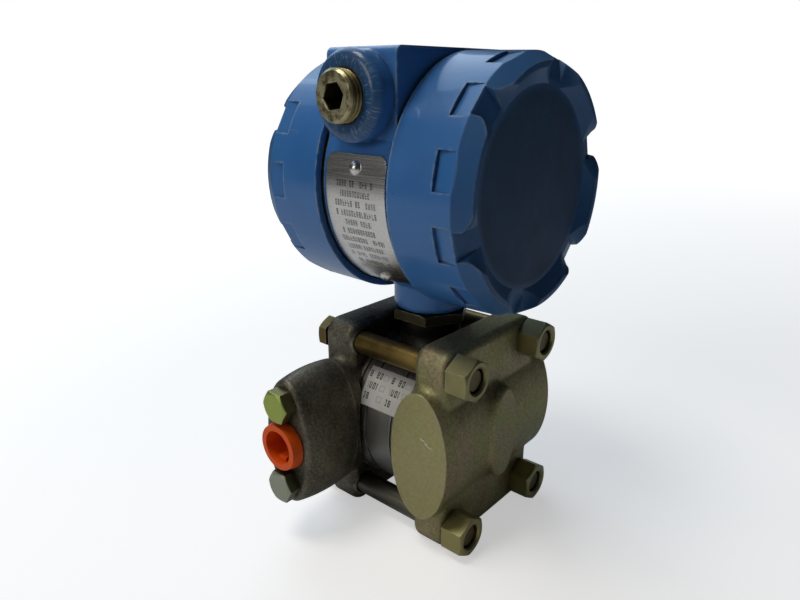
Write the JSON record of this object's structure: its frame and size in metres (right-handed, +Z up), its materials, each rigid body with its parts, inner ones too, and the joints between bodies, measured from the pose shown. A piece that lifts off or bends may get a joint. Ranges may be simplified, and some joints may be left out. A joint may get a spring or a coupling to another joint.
{
  "type": "pressure transmitter",
  "caption": "Pressure transmitter with a barrel housing between lobed screw covers, turning on a sensing cell that is bolted between a ported process flange and a blank flange.",
  "frame": {"origin": "centre of the four bracket holes, on the plane of the flanges' rear pads", "axes": "+Z up along the neck, +X along the housing barrel from the process flange to the blank flange, +Y out of the rear pads, so the process port opens towards -Y"},
  "size_m": [0.1148, 0.1467, 0.2221],
  "materials": {
    "blue_enamel": "glossy enamel with worn edges",
    "cast_stainless": "as-cast stainless, dull",
    "olive_casting": "plated casting with an olive passivation",
    "plated_bolts": "olive plated steel",
    "cell_steel": "turned steel, dull",
    "valve_steel": "turned stainless",
    "plated_nut": "olive plated steel",
    "yellow_plating": "yellow passivated steel",
    "diaphragm_foil": "rolled stainless foil",
    "glass_to_metal": "plated header",
    "seal_rubber": "black rubber",
    "orange_plastic": "moulded orange plastic",
    "plate_metal": "rolled sheet",
    "black_plastic": "moulded black plastic",
    "terminal_brass": "plated brass",
    "board_laminate": "green laminate",
    "small_screws": "plated steel"
  },
  "bodies": {
    "base": {"sensor_module": "cell_steel", "sensor_header": "glass_to_metal", "isolating_diaphragm_high": "diaphragm_foil", "isolating_diaphragm_low": "diaphragm_foil", "process_seal_high": "seal_rubber", "process_seal_low": "seal_rubber", "process_flange": "cast_stainless", "blank_flange": "olive_casting", "flange_bolts": "plated_bolts", "flange_nuts": "plated_bolts", "flange_adapter": "cast_stainless", "adapter_seal": "seal_rubber", "adapter_bolts": "plated_bolts", "vent_valve_seat": "valve_steel"},
    "lock_nut": {"lock_nut": "plated_nut"},
    "housing": {"housing": "blue_enamel", "side_plate": "plate_metal", "side_plate_screws": "plate_metal", "terminal_block": "black_plastic", "terminal_washers": "terminal_brass", "terminal_screws": "terminal_brass", "amplifier_board": "board_laminate", "calibration_board": "board_laminate", "board_standoffs": "terminal_brass", "board_screws": "small_screws"},
    "front_seal": {"front_cover_seal": "seal_rubber"},
    "front_cover": {"front_cover": "blue_enamel"},
    "rear_seal": {"rear_cover_seal": "seal_rubber"},
    "rear_cover": {"rear_cover": "blue_enamel"},
    "conduit_plug": {"conduit_plug": "yellow_plating"},
    "port_plug": {"port_plug": "orange_plastic"},
    "vent_stem": {"vent_valve_stem": "valve_steel"}
  },
  "joints": [
    {"name": "housing_swivel", "type": "hinge", "parent": "base", "child": "housing", "pos_m": [0, -0.046, 0.062], "axis": [0, 0, 1], "range_deg": [-90, 90]},
    {"name": "lock_nut_turn", "type": "hinge", "parent": "base", "child": "lock_nut", "pos_m": [0, -0.046, 0.053], "axis": [0, 0, 1], "range_deg": [0, 360]},
    {"name": "front_cover_turn", "type": "hinge", "parent": "housing", "child": "front_seal", "pos_m": [0.02, -0.046, 0.11733], "axis": [1, 0, 0], "range_deg": [0, 2880]},
    {"name": "front_cover_travel", "type": "slide", "parent": "front_seal", "child": "front_cover", "axis": [1, 0, 0], "range_m": [0, 0.0169]},
    {"name": "rear_cover_turn", "type": "hinge", "parent": "housing", "child": "rear_seal", "pos_m": [-0.02, -0.046, 0.11733], "axis": [-1, 0, 0], "range_deg": [0, 2880]},
    {"name": "rear_cover_travel", "type": "slide", "parent": "rear_seal", "child": "rear_cover", "axis": [-1, 0, 0], "range_m": [0, 0.0169]},
    {"name": "conduit_plug_out", "type": "slide", "parent": "housing", "child": "conduit_plug", "axis": [0, -1, 0], "range_m": [0, 0.018]},
    {"name": "port_plug_out", "type": "slide", "parent": "base", "child": "port_plug", "axis": [0, -1, 0], "range_m": [0, 0.016]},
    {"name": "vent_stem_turn", "type": "hinge", "parent": "base", "child": "vent_stem", "pos_m": [-0.027, 0.004, 0], "axis": [0, 1, 0], "range_deg": [0, 540]}
  ],
  "couplings": [
    {"joint": "front_cover_travel", "follows": "front_cover_turn", "m_per_rad": 0.00033423},
    {"joint": "rear_cover_travel", "follows": "rear_cover_turn", "m_per_rad": 0.00033423}
  ]
}
